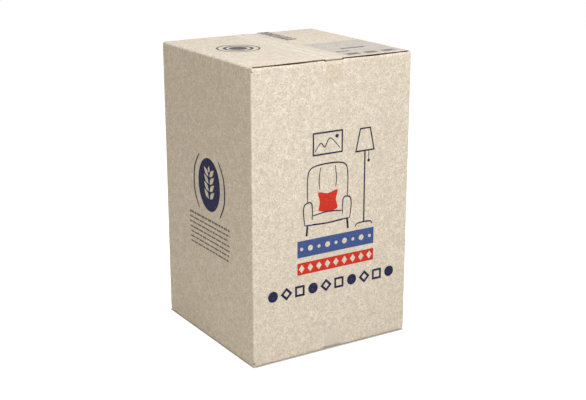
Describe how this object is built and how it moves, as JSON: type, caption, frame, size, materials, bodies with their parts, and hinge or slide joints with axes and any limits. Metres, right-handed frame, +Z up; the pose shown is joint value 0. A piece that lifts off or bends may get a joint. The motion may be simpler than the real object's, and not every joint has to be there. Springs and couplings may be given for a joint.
{
  "type": "packing box",
  "caption": "Tall slotted packing box of double-wall corrugated board, closed, with a clear tape strip along its top and bottom seams.",
  "frame": {"origin": "middle of the box's underside, on the surface it stands on", "axes": "+Z up, the printed front faces -Y, the second printed side faces -X"},
  "size_m": [0.47, 0.4706, 0.762],
  "materials": {
    "board": "matte mottled recycled liner",
    "tape": "clear glossy film"
  },
  "bodies": {
    "root": {"carton": "board", "top_tape": "tape", "bottom_tape": "tape"}
  },
  "joints": []
}
